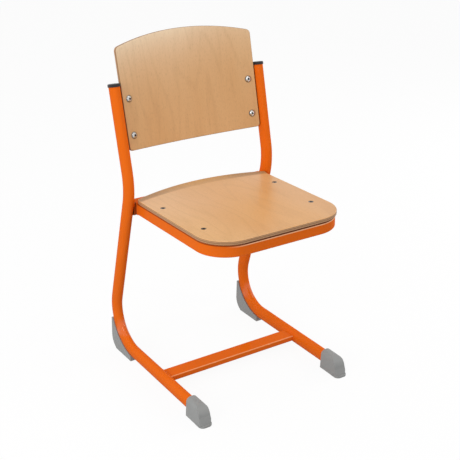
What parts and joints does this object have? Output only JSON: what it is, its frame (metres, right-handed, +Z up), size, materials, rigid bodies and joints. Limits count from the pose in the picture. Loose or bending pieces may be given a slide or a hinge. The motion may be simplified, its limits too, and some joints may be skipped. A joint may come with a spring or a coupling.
{
  "type": "school chair",
  "caption": "School chair with a moulded plywood seat and curved backrest on bent oval-tube side frames joined by cross rails, standing on plastic skid glides.",
  "frame": {"origin": "on the floor, below the middle of the chair's overall box", "axes": "+Z up, -Y towards the front edge of the seat, +X towards the sitter's left"},
  "size_m": [0.4318, 0.4806, 0.8246],
  "materials": {
    "orange_paint": "semi-gloss orange powder coat",
    "plywood": "satin clear lacquer on moulded beech plywood",
    "glide_plastic": "fine matt grey moulded plastic",
    "cap_plastic": "satin dark moulded plastic",
    "bright_steel": "bright nickel-plated steel",
    "zinc_steel": "dull zinc-plated steel"
  },
  "bodies": {
    "root": {"left_side_frame": "orange_paint", "right_side_frame": "orange_paint", "seat_frame": "orange_paint", "rear_cross_rail": "orange_paint", "floor_crossbar": "orange_paint", "left_backrest_tabs": "orange_paint", "right_backrest_tabs": "orange_paint", "front_seat_tabs": "orange_paint", "rear_seat_tabs": "orange_paint", "seat_panel": "plywood", "backrest_panel": "plywood", "left_upright_cap": "cap_plastic", "right_upright_cap": "cap_plastic", "left_front_glide": "glide_plastic", "right_front_glide": "glide_plastic", "left_rear_glide": "glide_plastic", "right_rear_glide": "glide_plastic", "backrest_bolts": "bright_steel", "backrest_washers": "zinc_steel", "backrest_nuts": "zinc_steel", "seat_bolts": "zinc_steel", "seat_washers": "zinc_steel", "seat_nuts": "zinc_steel", "rear_glide_rivets": "zinc_steel"}
  },
  "joints": []
}
